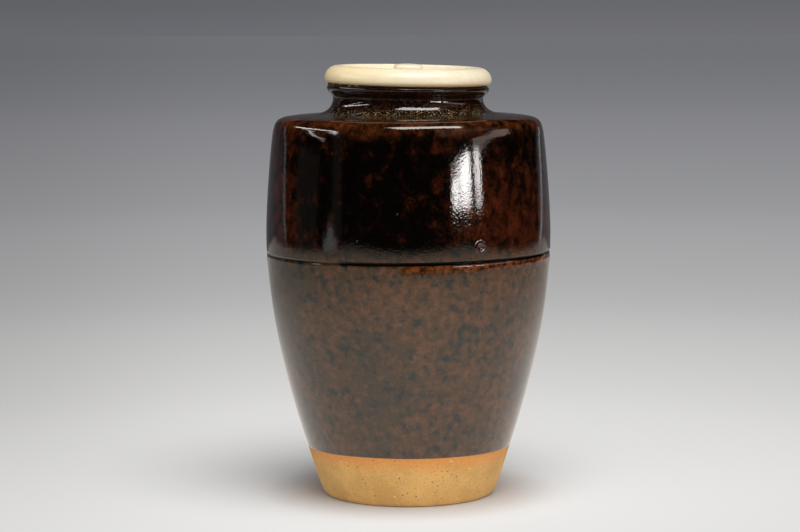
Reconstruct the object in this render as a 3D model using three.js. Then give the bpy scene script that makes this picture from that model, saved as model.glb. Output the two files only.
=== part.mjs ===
// A lidded stoneware tea caddy of the high-shouldered kind, about 94 mm tall and 62 mm wide.
//
// Lengths are millimetres. +Z is up, and the origin is the centre of the flat base. Every piece is
// turned about the Z axis, so each one is an outline in (radius, height) swept round that axis. An
// outline starts and ends on the axis, or closes on itself, and runs with the solid on its left.

import * as THREE from 'three';

// Driving dimensions of the jar's outer face.
const BELLY_RADIUS = 31.0;
const BELLY_HEIGHT = 57.0;
const FOOT_RADIUS = 18.5;
const BASE_CORNER = 1.2;
const SHOULDER_START = new THREE.Vector2(29.15, 80.0);
const SHOULDER_END = new THREE.Vector2(26.6, 82.4);
const NECK_FOOT = new THREE.Vector2(20.0, 83.05);
const NECK_RADIUS = 16.3;
const NECK_HEIGHT = 86.3;
const LIP_RADIUS = 17.6;
const LIP_TOP = 88.95;
const LIP_ROUNDING = 0.9;
const MOUTH_RADIUS = 13.5;

// Handles of the curves of that face: how far each curve follows its direction at an end point.
const FOOT_HANDLE = new THREE.Vector2(1.05, 1.55);
const BELLY_HANDLE_DOWN = 24.75;
const BELLY_HANDLE_UP = 6.7;
const SHOULDER_BELOW_HANDLE = new THREE.Vector2(0.55, -0.6);
const SHOULDER_START_HANDLE = new THREE.Vector2(-0.3, 1.5);
const SHOULDER_END_HANDLE = new THREE.Vector2(1.5, -0.3);
const NECK_FOOT_HANDLE = new THREE.Vector2(-2.4, 0.25);
const NECK_HANDLE_DOWN = 1.7;
const NECK_HANDLE_UP = 0.8;
const LIP_HANDLE_DOWN = 1.05;

// The scored line round the belly.
const GROOVE_HEIGHT = 53.4;
const GROOVE_HALF_WIDTH = 0.6;
const GROOVE_DEPTH = 0.3;

// The fused glass layer: where it stops outside and in the mouth, and how thick it is.
const GLAZE_LINE = 10.5;
const GLAZE_END_IN_MOUTH = 82.0;
const GLAZE_THICKNESS = 0.4;

// The clay wall and the hollow inside it. The wall thickness counts the glaze on its outside.
const WALL_THICKNESS = 2.8;
const FLOOR_THICKNESS = 4.5;
const FLOOR_CORNER = 5.0;
const SHOULDER_THICKNESS = 3.0;
const CEILING_HEIGHT = SHOULDER_END.y - SHOULDER_THICKNESS;
const CEILING_START = MOUTH_RADIUS + 4.5;
const CEILING_DROP = 0.6;
const HOLLOW_SIDE_TOP = SHOULDER_START.y - 3.5;

// The lid: a turned disc with a rolled rim, a sunk top and a spigot that drops into the mouth.
const LID_RADIUS = 18.15;
const LID_UNDERSIDE = 89.65;
const LID_WIDEST_HEIGHT = 90.4;
const LID_EDGE_RADIUS = 17.3;
const RIM_CREST = new THREE.Vector2(15.3, 93.2);
const RECESS_RADIUS = 14.5;
const RECESS_FLOOR = 92.2;
const RECESS_CORNER = 0.3;
const SPIGOT_RADIUS = 12.55;
const SPIGOT_DEPTH = 3.0;
const SPIGOT_CHAMFER = 0.3;

// The button in the middle of the lid, with a tenon let into the lid.
const KNOB_RADIUS = 3.25;
const KNOB_TOP = 93.8;
const KNOB_SEAT_RADIUS = 2.6;
const KNOB_SIDE_HEIGHT = 0.6;
const KNOB_ROUNDING = 0.8;
const KNOB_DOME = 0.1;
const TENON_RADIUS = 1.25;
const TENON_LENGTH = 2.2;

// The leafed paper under the lid.
const LEAF_THICKNESS = 0.3;
const LEAF_EDGE_RADIUS = 17.0;

// The clearance between two pieces that touch in the real object.
const GAP = 0.2;

// Flat sides round each turned piece.
const BODY_SIDES = 40;
const KNOB_SIDES = 24;

const point = (radius, height) => new THREE.Vector2(radius, height);

// The point that a handle reaches from an end point.
const reach = (end, handle) => end.clone().add(handle);

// The jar's side from the base to the belly, which swells slowly, and from there to the shoulder.
const belly = point(BELLY_RADIUS, BELLY_HEIGHT);
const lowerWall = new THREE.CubicBezierCurve(
  point(FOOT_RADIUS, 0),
  reach(point(FOOT_RADIUS, 0), FOOT_HANDLE),
  point(BELLY_RADIUS, BELLY_HEIGHT - BELLY_HANDLE_DOWN),
  belly,
);
const upperWall = new THREE.CubicBezierCurve(
  belly,
  point(BELLY_RADIUS, BELLY_HEIGHT + BELLY_HANDLE_UP),
  reach(SHOULDER_START, SHOULDER_BELOW_HANDLE),
  SHOULDER_START,
);

// The point of a rising curve at one height, by bisection.
function pointAtHeight(curve, height) {
  let low = 0;
  let high = 1;
  for (let step = 0; step < 40; step += 1) {
    const middle = (low + high) / 2;
    if (curve.getPoint(middle).y < height) low = middle;
    else high = middle;
  }
  return curve.getPoint(low);
}

// Evenly spaced points of a rising curve from one height to another, both ends included.
function pointsBetween(curve, from, to, steps) {
  return Array.from({ length: steps + 1 }, (_, i) => pointAtHeight(curve, from + ((to - from) * i) / steps));
}

// Points of a cubic Bezier curve, without its first one.
function bend(start, startHandle, endHandle, end, steps) {
  return new THREE.CubicBezierCurve(start, startHandle, endHandle, end).getPoints(steps).slice(1);
}

// Points of a quarter ellipse that leaves `start` towards `corner` and ends at `end`, without `start`.
function quarter(start, corner, end, steps) {
  const points = [];
  for (let i = 1; i <= steps; i += 1) {
    const angle = (Math.PI / 2) * (i / steps);
    const along = Math.sin(angle);
    const across = 1 - Math.cos(angle);
    const r = start.x + (corner.x - start.x) * along + (end.x - corner.x) * across;
    const z = start.y + (corner.y - start.y) * along + (end.y - corner.y) * across;
    points.push(point(r, z));
  }
  return points;
}

// An outline moved to its left by a distance, so into the solid.
function insetOutline(points, distance) {
  return points.map((current, i) => {
    const before = points[Math.max(i - 1, 0)];
    const after = points[Math.min(i + 1, points.length - 1)];
    const incoming = (i > 0 ? current.clone().sub(before) : after.clone().sub(current)).normalize();
    const outgoing = (after !== current ? after.clone().sub(current) : incoming.clone()).normalize();
    const bisector = incoming.clone().add(outgoing).normalize();
    const depth = distance / bisector.dot(incoming);
    return point(current.x - bisector.y * depth, current.y + bisector.x * depth);
  });
}

// The scored line: the wall's edge, the bottom of the cut, and the wall's edge again.
function groove() {
  const below = pointAtHeight(lowerWall, GROOVE_HEIGHT - GROOVE_HALF_WIDTH);
  const bottom = pointAtHeight(lowerWall, GROOVE_HEIGHT);
  bottom.x -= GROOVE_DEPTH;
  const above = pointAtHeight(lowerWall, GROOVE_HEIGHT + GROOVE_HALF_WIDTH);
  return [below, bottom, above];
}

// The shoulder's rounding, its flat top, the fillet that rises into the neck, and the lip's underside.
function shoulderOutline() {
  const neck = point(NECK_RADIUS, NECK_HEIGHT);
  const neckBelow = point(NECK_RADIUS, NECK_HEIGHT - NECK_HANDLE_DOWN);
  const neckAbove = point(NECK_RADIUS, NECK_HEIGHT + NECK_HANDLE_UP);
  const lipSide = point(LIP_RADIUS, LIP_TOP - LIP_ROUNDING);
  const lipBelow = point(LIP_RADIUS, lipSide.y - LIP_HANDLE_DOWN);
  return [
    ...bend(
      SHOULDER_START,
      reach(SHOULDER_START, SHOULDER_START_HANDLE),
      reach(SHOULDER_END, SHOULDER_END_HANDLE),
      SHOULDER_END,
      4,
    ),
    NECK_FOOT,
    ...bend(NECK_FOOT, reach(NECK_FOOT, NECK_FOOT_HANDLE), neckBelow, neck, 4),
    ...bend(neck, neckAbove, lipBelow, lipSide, 3),
  ];
}

// The rolled lip, from the top of its outer side to the top of the straight mouth.
function lipOutline() {
  const outerSide = point(LIP_RADIUS, LIP_TOP - LIP_ROUNDING);
  const outerTop = point(LIP_RADIUS - LIP_ROUNDING, LIP_TOP);
  const innerTop = point(MOUTH_RADIUS + LIP_ROUNDING, LIP_TOP);
  const innerSide = point(MOUTH_RADIUS, LIP_TOP - LIP_ROUNDING);
  return [
    ...quarter(outerSide, point(LIP_RADIUS, LIP_TOP), outerTop, 3),
    innerTop,
    ...quarter(innerTop, point(MOUTH_RADIUS, LIP_TOP), innerSide, 3),
  ];
}

// The jar's glazed face, from the glaze line outside, over the lip and down into the mouth.
function glazedOutline(startHeight, endHeight) {
  const cutEdge = GROOVE_HEIGHT - GROOVE_HALF_WIDTH;
  return [
    ...pointsBetween(lowerWall, startHeight, cutEdge, 5).slice(0, -1),
    ...groove(),
    ...pointsBetween(upperWall, BELLY_HEIGHT, SHOULDER_START.y, 4),
    ...shoulderOutline(),
    ...lipOutline(),
    point(MOUTH_RADIUS, endHeight),
  ];
}

// The hollow, from the mouth down to the middle of the floor.
function hollowOutline() {
  const wall = [
    ...pointsBetween(lowerWall, FLOOR_THICKNESS + FLOOR_CORNER, BELLY_HEIGHT, 5),
    ...pointsBetween(upperWall, BELLY_HEIGHT, HOLLOW_SIDE_TOP, 2).slice(1),
  ];
  const side = insetOutline(wall, WALL_THICKNESS).reverse();
  const sideTop = side[0];
  const sideBottom = side[side.length - 1];
  const mouthEnd = point(MOUTH_RADIUS, GLAZE_END_IN_MOUTH);
  const ceilingStart = point(CEILING_START, CEILING_HEIGHT);
  const ceilingEnd = point(sideTop.x - FLOOR_CORNER, CEILING_HEIGHT - CEILING_DROP);
  const ceilingCorner = point(sideTop.x, CEILING_HEIGHT - CEILING_DROP);
  const floorEdge = point(sideBottom.x - FLOOR_CORNER, FLOOR_THICKNESS);
  return [
    mouthEnd,
    ...quarter(mouthEnd, point(MOUTH_RADIUS, CEILING_HEIGHT), ceilingStart, 3),
    ceilingEnd,
    ...quarter(ceilingEnd, ceilingCorner, sideTop, 3),
    ...side.slice(1),
    ...quarter(sideBottom, point(sideBottom.x, FLOOR_THICKNESS), floorEdge, 3),
    point(0, FLOOR_THICKNESS),
  ];
}

// The whole jar in clay: base, bare foot, the face under the glaze, and the hollow.
function clayOutline() {
  const baseEdge = point(FOOT_RADIUS - BASE_CORNER, 0);
  const footSide = pointAtHeight(lowerWall, BASE_CORNER);
  return [
    point(0, 0),
    baseEdge,
    ...quarter(baseEdge, point(footSide.x, 0), footSide, 3),
    ...pointsBetween(lowerWall, BASE_CORNER, GLAZE_LINE, 3).slice(1),
    ...insetOutline(glazedOutline(GLAZE_LINE, GLAZE_END_IN_MOUTH), GLAZE_THICKNESS + GAP),
    ...hollowOutline(),
  ];
}

// The glaze: its outer face, and its inner face back the other way.
function glazeOutline() {
  const face = glazedOutline(GLAZE_LINE + GAP, GLAZE_END_IN_MOUTH + GAP);
  const back = insetOutline(face, GLAZE_THICKNESS).reverse();
  return [...face, ...back, face[0]];
}

// The lid, from the middle of the spigot's underside to the bottom of the tenon's hole.
function lidOutline() {
  const spigotBottom = LID_UNDERSIDE - SPIGOT_DEPTH;
  const widest = point(LID_RADIUS, LID_WIDEST_HEIGHT);
  const recessSide = point(RECESS_RADIUS, RECESS_FLOOR + RECESS_CORNER);
  const holeRadius = TENON_RADIUS + GAP;
  return [
    point(0, spigotBottom),
    point(SPIGOT_RADIUS - SPIGOT_CHAMFER, spigotBottom),
    point(SPIGOT_RADIUS, spigotBottom + SPIGOT_CHAMFER),
    point(SPIGOT_RADIUS, LID_UNDERSIDE),
    point(LID_EDGE_RADIUS, LID_UNDERSIDE),
    ...quarter(point(LID_EDGE_RADIUS, LID_UNDERSIDE), point(LID_RADIUS, LID_UNDERSIDE), widest, 3),
    ...quarter(widest, point(LID_RADIUS, RIM_CREST.y), RIM_CREST, 6),
    ...quarter(RIM_CREST, point(RECESS_RADIUS, RIM_CREST.y), recessSide, 3),
    point(RECESS_RADIUS - RECESS_CORNER, RECESS_FLOOR),
    point(holeRadius, RECESS_FLOOR),
    point(holeRadius, RECESS_FLOOR - TENON_LENGTH - GAP),
    point(0, RECESS_FLOOR - TENON_LENGTH - GAP),
  ];
}

// The knob: tenon, seat, rounded side and gently domed top.
function knobOutline() {
  const seat = RECESS_FLOOR + GAP;
  const side = point(KNOB_RADIUS, seat + KNOB_SIDE_HEIGHT);
  const crown = point(KNOB_RADIUS - KNOB_ROUNDING, KNOB_TOP - KNOB_DOME);
  return [
    point(0, RECESS_FLOOR - TENON_LENGTH),
    point(TENON_RADIUS, RECESS_FLOOR - TENON_LENGTH),
    point(TENON_RADIUS, seat),
    point(KNOB_SEAT_RADIUS, seat),
    ...quarter(point(KNOB_SEAT_RADIUS, seat), point(KNOB_RADIUS, seat), side, 2),
    ...quarter(side, point(KNOB_RADIUS, crown.y), crown, 3),
    point(0, KNOB_TOP),
  ];
}

// The lining: a shallow leafed cap over the spigot, with a flange under the lid's rim.
function liningOutline() {
  const flange = LID_UNDERSIDE - GAP;
  const capTop = LID_UNDERSIDE - SPIGOT_DEPTH - GAP;
  const innerRadius = SPIGOT_RADIUS + GAP;
  return [
    point(0, capTop - LEAF_THICKNESS),
    point(innerRadius + LEAF_THICKNESS, capTop - LEAF_THICKNESS),
    point(innerRadius + LEAF_THICKNESS, flange - LEAF_THICKNESS),
    point(LEAF_EDGE_RADIUS, flange - LEAF_THICKNESS),
    point(LEAF_EDGE_RADIUS, flange),
    point(innerRadius, flange),
    point(innerRadius, capTop),
    point(0, capTop),
  ];
}

// A mesh turned from an outline. LatheGeometry turns about Y, so the result is stood up along Z.
function turned(name, outline, sides, finish) {
  const geometry = new THREE.LatheGeometry(outline, sides);
  geometry.rotateX(Math.PI / 2);
  const mesh = new THREE.Mesh(geometry, new THREE.MeshStandardMaterial(finish));
  mesh.name = name;
  return mesh;
}

const clay = { color: 0xc59a5c, roughness: 0.85, metalness: 0 };
const glaze = { color: 0x24130a, roughness: 0.12, metalness: 0 };
const ivory = { color: 0xf3e6c4, roughness: 0.35, metalness: 0 };
const leaf = { color: 0xd9a94a, roughness: 0.35, metalness: 1 };

const jar = new THREE.Group();
jar.add(
  turned('clay_body', clayOutline(), BODY_SIDES, clay),
  turned('glaze_coat', glazeOutline(), BODY_SIDES, glaze),
);

const lid = new THREE.Group();
lid.add(
  turned('lid_disc', lidOutline(), BODY_SIDES, ivory),
  turned('lid_knob', knobOutline(), KNOB_SIDES, ivory),
  turned('gold_leaf_lining', liningOutline(), BODY_SIDES, leaf),
);

const caddy = new THREE.Group();
caddy.add(jar, lid);

export default caddy;
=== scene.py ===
"""The looks of a lidded stoneware tea caddy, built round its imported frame.

Geometry is worked out in millimetres and written to Blender in metres. Every piece is turned about
the Z axis: an outline in (radius, height) is swept round it, and then thrown, scored and glazed by
small functions of angle and height. Angle 0 faces the camera (-Y) and grows towards +X.
"""
import math

import bpy
import numpy as np
from mathutils import Matrix, Vector


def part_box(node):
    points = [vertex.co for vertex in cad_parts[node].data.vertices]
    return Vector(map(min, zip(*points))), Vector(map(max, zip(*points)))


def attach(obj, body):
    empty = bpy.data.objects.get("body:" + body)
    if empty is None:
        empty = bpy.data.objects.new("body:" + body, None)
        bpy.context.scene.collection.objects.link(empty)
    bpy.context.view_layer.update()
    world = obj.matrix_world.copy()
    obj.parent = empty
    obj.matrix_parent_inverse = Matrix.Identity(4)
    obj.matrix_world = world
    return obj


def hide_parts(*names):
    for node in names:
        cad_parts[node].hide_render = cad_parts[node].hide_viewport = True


MM = 0.001

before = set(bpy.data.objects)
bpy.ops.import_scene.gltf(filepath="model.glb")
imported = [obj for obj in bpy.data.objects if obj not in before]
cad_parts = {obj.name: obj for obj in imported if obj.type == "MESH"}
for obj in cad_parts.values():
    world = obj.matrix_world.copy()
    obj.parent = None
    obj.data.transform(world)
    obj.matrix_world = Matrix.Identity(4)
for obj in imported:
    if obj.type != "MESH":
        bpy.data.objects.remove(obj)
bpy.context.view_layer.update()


# -----------------------------------------------------------------------------
# Sizes, in millimetres, from the frame
# -----------------------------------------------------------------------------

def box_mm(node):
    """The lowest and highest corner of a CAD node, in millimetres."""
    low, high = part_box(node)
    return low / MM, high / MM


GLAZE_LOW, GLAZE_HIGH = box_mm("glaze_coat")
LID_LOW, LID_HIGH = box_mm("lid_disc")
KNOB_LOW, KNOB_HIGH = box_mm("lid_knob")
LEAF_LOW, LEAF_HIGH = box_mm("gold_leaf_lining")

# The jar's outer face.
BELLY_RADIUS = GLAZE_HIGH.x
BELLY_HEIGHT = 57.0
FOOT_RADIUS = 18.5
GLAZE_LINE = GLAZE_LOW.z - 0.2
SHOULDER_START = (29.15, 80.0)
SHOULDER_END = (26.6, 82.4)
NECK_FOOT = (20.0, 83.05)
NECK_RADIUS = 16.3
NECK_HEIGHT = 86.3
LIP_RADIUS = 17.6
LIP_TOP = GLAZE_HIGH.z
LIP_ROUNDING = 0.65
MOUTH_RADIUS = 13.5
MOUTH_GLAZE_END = 82.2

# The lip is a little higher than the frame's, and leans to the right.
MOUTH_RAISE = 0.15
MOUTH_LEAN = math.radians(0.9)

# The base's flat face ends at one radius, and its rounded corner meets the wall at one height.
BASE_FLAT_RADIUS = 17.7
BASE_CORNER_HEIGHT = 1.2

# The hollow.
FLOOR_HEIGHT = 4.5
FLOOR_FILLET = 5.0
WALL_THICKNESS = 2.8
CEILING_HEIGHT = 79.4

# How thick the glaze stands on the clay, and how far its rounded edge reaches.
GLAZE_THICKNESS = 0.16
GLAZE_EDGE = 0.35

# The scored line, and the stretch of wall where the mesh is fine enough for it.
GROOVE_HEIGHT = 53.4
GROOVE_RISE = 0.21
GROOVE_DEPTH = 0.17
LEDGE_DEPTH = 0.18
FINE_FROM = 51.0
FINE_TO = 54.2

# The burst bubble in the glaze.
BLISTER_ANGLE = math.radians(28.7)
BLISTER_HEIGHT = 56.4
BLISTER_RADIUS = 0.95
BLISTER_PIT = 0.12
BLISTER_RIM = 0.26
BLISTER_RIM_WIDTH = 0.32

# The lid, which leans a little on its uneven lining.
LID_RADIUS = LID_HIGH.x
LID_UNDERSIDE = LIP_TOP + 0.55
LID_WIDEST = 90.35
RIM_CREST = (15.3, LID_HIGH.z)
RECESS_RADIUS = 14.5
RECESS_FLOOR = 92.2
SPIGOT_RADIUS = 12.55
LID_CORNER = 0.35
LID_LEAN_FORWARD = math.radians(0.7)
LID_LEAN_RIGHT = math.radians(1.3)

# The gold-leafed paper.
LEAF_THICKNESS = 0.12
LEAF_CORNER = 0.3


# -----------------------------------------------------------------------------
# Outlines
# -----------------------------------------------------------------------------

def bend(start, start_handle, end_handle, end, steps):
    """Points of a cubic Bezier curve."""
    t = np.linspace(0.0, 1.0, steps + 1)[:, None]
    p = [np.array(q, float) for q in (start, start_handle, end_handle, end)]
    return (1 - t) ** 3 * p[0] + 3 * (1 - t) ** 2 * t * p[1] + 3 * (1 - t) * t ** 2 * p[2] + t ** 3 * p[3]


def quarter(start, corner, end, steps):
    """Points of a quarter ellipse that leaves start towards corner and ends at end."""
    angle = np.linspace(0.0, math.pi / 2, steps + 1)[:, None]
    start, corner, end = (np.array(q, float) for q in (start, corner, end))
    return start + (corner - start) * np.sin(angle) + (end - corner) * (1 - np.cos(angle))


def level(start, end, height, count):
    """Points along a level line, from one radius to another."""
    return np.column_stack((np.linspace(start, end, count), np.full(count, height)))


def chain(*runs):
    """Joins runs of points, leaving out a point that repeats the one before it."""
    points = np.vstack([np.atleast_2d(np.array(run, float)) for run in runs])
    step = np.linalg.norm(np.diff(points, axis=0), axis=1)
    return points[np.concatenate(([True], step > 1e-4))]


LOWER_WALL = bend(
    (FOOT_RADIUS, 0), (FOOT_RADIUS + 1.05, 1.55), (BELLY_RADIUS, BELLY_HEIGHT - 24.75),
    (BELLY_RADIUS, BELLY_HEIGHT), 400)
UPPER_WALL = bend(
    (BELLY_RADIUS, BELLY_HEIGHT), (BELLY_RADIUS, BELLY_HEIGHT + 6.7),
    (SHOULDER_START[0] + 0.55, SHOULDER_START[1] - 0.6), SHOULDER_START, 200)
WALL = chain(LOWER_WALL, UPPER_WALL)


def wall_radius(height):
    """The radius of the jar's outer face at a height between the base and the shoulder."""
    return np.interp(height, WALL[:, 1], WALL[:, 0])


def wall_between(low, high, step):
    """Points of the jar's outer face from one height to another, about step apart."""
    heights = np.linspace(low, high, max(2, round((high - low) / step) + 1))
    return np.column_stack((wall_radius(heights), heights))


def face_above_wall():
    """The jar's outer face from the shoulder's start, over the lip, to the glaze's end in the mouth."""
    lip_side = (LIP_RADIUS, LIP_TOP - LIP_ROUNDING)
    lip_outer = (LIP_RADIUS - LIP_ROUNDING, LIP_TOP)
    lip_inner = (MOUTH_RADIUS + LIP_ROUNDING, LIP_TOP)
    mouth_side = (MOUTH_RADIUS, LIP_TOP - LIP_ROUNDING)
    return chain(
        bend(SHOULDER_START, (28.85, 81.5), (28.1, 82.1), SHOULDER_END, 14),
        bend(SHOULDER_END, (24.6, 82.75), (22.2, 82.82), NECK_FOOT, 9),
        bend(NECK_FOOT, (17.6, 83.3), (NECK_RADIUS, 84.6), (NECK_RADIUS, NECK_HEIGHT), 14),
        bend((NECK_RADIUS, NECK_HEIGHT), (NECK_RADIUS, 87.0), (LIP_RADIUS - 0.2, 87.2), lip_side, 14),
        quarter(lip_side, (LIP_RADIUS, LIP_TOP), lip_outer, 8),
        bend(lip_outer, (16.3, LIP_TOP), (15.0, LIP_TOP), lip_inner, 2),
        quarter(lip_inner, (MOUTH_RADIUS, LIP_TOP), mouth_side, 7),
        bend(mouth_side, (MOUTH_RADIUS, 86.6), (MOUTH_RADIUS, 84.0), (MOUTH_RADIUS, MOUTH_GLAZE_END), 12),
    )


def inset(points, distance):
    """An outline moved to its left, into the solid, by one distance or by one for each point."""
    tangent = np.gradient(points, axis=0)
    tangent /= np.linalg.norm(tangent, axis=1)[:, None]
    normal = np.column_stack((-tangent[:, 1], tangent[:, 0]))
    return points + normal * np.reshape(distance, (-1, 1))


# -----------------------------------------------------------------------------
# Turning an outline into a mesh
# -----------------------------------------------------------------------------

def smooth(value, low, high):
    """0 below low, 1 above high, and an even curve between."""
    t = np.clip((value - low) / (high - low), 0.0, 1.0)
    return t * t * (3 - 2 * t)


def even_angles(columns):
    """Angles all round, evenly spaced."""
    return np.arange(columns) * (2 * math.pi / columns)


def crowded_angles(columns, centre, crowding):
    """Angles all round, closer together near one angle."""
    even = even_angles(columns)
    return centre + even - crowding * np.sin(even)


def ripple(angle, height, seed, lobes, pitch):
    """A smooth hand-made unevenness between -1 and 1, made of a few waves that never line up."""
    turn = 2 * math.pi / pitch
    waves = (
        np.sin(lobes * angle + 0.31 * turn * height + seed)
        + 0.7 * np.sin((lobes + 1) * angle - 0.83 * turn * height + 2.1 * seed)
        + 0.5 * np.sin((lobes + 3) * angle + 1.37 * turn * height + 3.7 * seed)
    )
    return waves / 2.2


def grid_faces(rows, columns, capped):
    """Quads between the rows of a turned grid, whose last row meets its first unless it is capped."""
    lower = np.arange(rows - 1 if capped else rows)[:, None]
    upper = (lower + 1) % rows
    here = np.arange(columns)
    there = (here + 1) % columns
    corners = (lower * columns + here, lower * columns + there,
               upper * columns + there, upper * columns + here)
    return np.stack(corners, axis=-1).reshape(-1, 4).tolist()


def cap_faces(rows, columns):
    """Triangles from a turned grid's first and last row to the two points that follow the grid's own."""
    first = rows * columns
    top = first - columns
    edges = [(here, (here + 1) % columns) for here in range(columns)]
    lower_cap = [(first, there, here) for here, there in edges]
    upper_cap = [(first + 1, top + here, top + there) for here, there in edges]
    return lower_cap + upper_cap


def mesh_piece(name, points, faces):
    """A smooth object from points in millimetres."""
    mesh = bpy.data.meshes.new(name)
    mesh.from_pydata((points * MM).tolist(), [], faces)
    mesh.validate()
    mesh.polygons.foreach_set("use_smooth", [True] * len(mesh.polygons))
    mesh.update()
    piece = bpy.data.objects.new(name, mesh)
    bpy.context.scene.collection.objects.link(piece)
    return piece


def turn_outline(name, outline, angles, shape=None, lean=None):
    """Sweeps an outline round the axis. shape moves the grid; lean is a matrix in millimetres.

    An outline whose ends lie on the axis is capped there, and any other closes on itself.
    """
    capped = outline[0, 0] < 1e-6
    body = outline[1:-1] if capped else outline
    radius = np.repeat(body[:, :1], len(angles), axis=1)
    height = np.repeat(body[:, 1:], len(angles), axis=1)
    angle = np.repeat(angles[None, :], len(body), axis=0)
    if shape:
        radius, height = shape(angle, radius, height)
    points = np.stack((radius * np.sin(angle), -radius * np.cos(angle), height), axis=-1).reshape(-1, 3)
    faces = grid_faces(len(body), len(angles), capped)
    if capped:
        points = np.vstack((points, [(0, 0, height[0].mean()), (0, 0, height[-1].mean())]))
        faces += cap_faces(len(body), len(angles))
    if lean is not None:
        turned = np.column_stack((points, np.ones(len(points)))) @ np.array(lean).T
        points = turned[:, :3]
    return mesh_piece(name, points, faces)


def finish_piece(piece, material, body, slot, *nodes):
    """Gives a piece its material and its place in the frame."""
    piece.data.materials.append(material)
    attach(piece, body)
    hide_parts(*nodes)
    return piece


# -----------------------------------------------------------------------------
# The jar
# -----------------------------------------------------------------------------

def glaze_line(angle):
    """The height at which the glaze stops above the foot: lower at the sides, and never quite even."""
    return GLAZE_LINE + 0.25 + 0.3 * np.cos(angle - 0.1) + 0.16 * ripple(angle, 0.0, 1.3, 3, 9.0)


def mouth_line(angle):
    """The height at which the glaze stops inside the mouth."""
    return MOUTH_GLAZE_END + 0.7 + 0.7 * ripple(angle, 0.0, 4.1, 2, 9.0)


def throwing(angle, height):
    """How far the potter's hands left the wall from a true surface of revolution."""
    slow = 0.05 * np.sin(2 * angle + 0.6 + height / 60) + 0.02 * np.sin(3 * angle - 1.1)
    rings = 0.003 * np.sin(2 * math.pi * height / 5.3 + angle)
    lumps = 0.006 * ripple(angle, height, 2.4, 5, 24.0)
    fade = smooth(height, 3.0, 14.0) * (1 - smooth(height, 76.0, 82.0))
    return (slow + rings + lumps) * fade


def ledge_width(angle):
    """How far the soft ledge under the scored line reaches down: wide at the middle, ragged, then narrow."""
    ragged = 0.22 * ripple(angle, 0.0, 0.4, 31, 5.0) + 0.12 * ripple(angle, 0.0, 2.9, 67, 5.0)
    narrowing = 1.15 * smooth(angle, 0.42, 0.62)
    return 2.5 - narrowing + ragged


def scoring(angle, height):
    """The scored line: a cut with a sharp upper lip, and a soft ledge below it on one side of the jar."""
    turned = (angle + math.pi) % (2 * math.pi) - math.pi
    centre = GROOVE_HEIGHT + GROOVE_RISE * np.sin(angle)
    above = height - centre
    strength = 0.4 + 0.6 * smooth(np.cos(angle - 0.1), 0.1, 0.8)
    ledge = smooth(turned, -0.16, -0.02) * (1 - smooth(turned, 1.35, 1.9))
    cut = np.where(above > 0, 1 - smooth(above, 0.02, 0.22), 1 - smooth(-above, 0.1, 0.85))
    slope = np.where(above > 0, 1 - smooth(above, 0.0, 0.3), np.clip(1 + above / ledge_width(turned), 0, 1))
    return -GROOVE_DEPTH * strength * cut - LEDGE_DEPTH * ledge * slope


def blister(angle, height):
    """A burst bubble: a small pit with a raised, broken rim."""
    across = (angle - BLISTER_ANGLE + math.pi) % (2 * math.pi) - math.pi
    distance = np.hypot(across * BELLY_RADIUS, height - BLISTER_HEIGHT)
    around = np.arctan2(height - BLISTER_HEIGHT, across * BELLY_RADIUS)
    broken = 0.35 + 0.65 * smooth(np.cos(around - 2.2), -0.6, 0.2)
    pit = BLISTER_PIT * (1 - smooth(distance, 0.1, BLISTER_RADIUS))
    rim = BLISTER_RIM * np.exp(-((distance - BLISTER_RADIUS) / BLISTER_RIM_WIDTH) ** 2)
    return rim * broken - pit


def mouth_rise(angle, radius, height):
    """How the lip rides up at the left and down at the right: the mouth isn't quite level."""
    lean = MOUTH_RAISE - math.tan(MOUTH_LEAN) * radius * np.sin(angle)
    return lean * smooth(height, 84.0, 87.5)


def finger_rings(angle, height):
    """The rings that the fingers leave inside the wall."""
    rings = 0.14 * np.sin(2 * math.pi * height / 4.2 + angle)
    return rings * smooth(height, 8.0, 14.0) * (1 - smooth(height, 72.0, 77.0))


def clay_shape(angle, radius, height):
    """The clay: thrown and scored like the glaze over it, ringed inside, and marked at base and floor."""
    outside = (radius > wall_radius(height) - 1.2) & (height < SHOULDER_START[1]) & (height > 0.05)
    hollow = (radius < wall_radius(height) - 2.0) & (height < 79.0) & (height > FLOOR_HEIGHT)
    moved = throwing(angle, height) + scoring(angle, height)
    radius = radius + np.where(outside, moved, 0.0) + np.where(hollow, finger_rings(angle, height), 0.0)
    marks = base_marks(angle, radius, height) + floor_swirl(angle, radius, height)
    return radius, height + marks + mouth_rise(angle, radius, height)


def base_marks(angle, radius, height):
    """The loops that a twisted cord leaves in the base when it cuts the jar off the wheel."""
    off_x, off_y = 5.5, -3.0
    x = radius * np.sin(angle) - off_x
    y = radius * np.cos(angle) - off_y
    distance = np.hypot(x, y)
    loops = 0.5 + 0.5 * np.sin(2 * math.pi * distance / 1.5 + 1.2 * np.arctan2(y, x))
    depth = 0.11 * loops ** 2 * (1 - smooth(radius, 14.5, 17.0)) + 0.03 * (1 - smooth(radius, 0.5, 3.0))
    return np.where(height < 0.02, depth, 0.0)


def floor_swirl(angle, radius, height):
    """The spiral that the fingers leave in the inside of the floor."""
    on_floor = (height > FLOOR_HEIGHT - 0.1) & (height < FLOOR_HEIGHT + 1.0) & (radius < 18.0)
    swirl = 0.3 * np.cos(2 * math.pi * radius / 4.5 - angle) * smooth(radius, 1.0, 4.0)
    return np.where(on_floor, swirl * (1 - smooth(radius, 12.0, 17.0)), 0.0)


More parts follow.
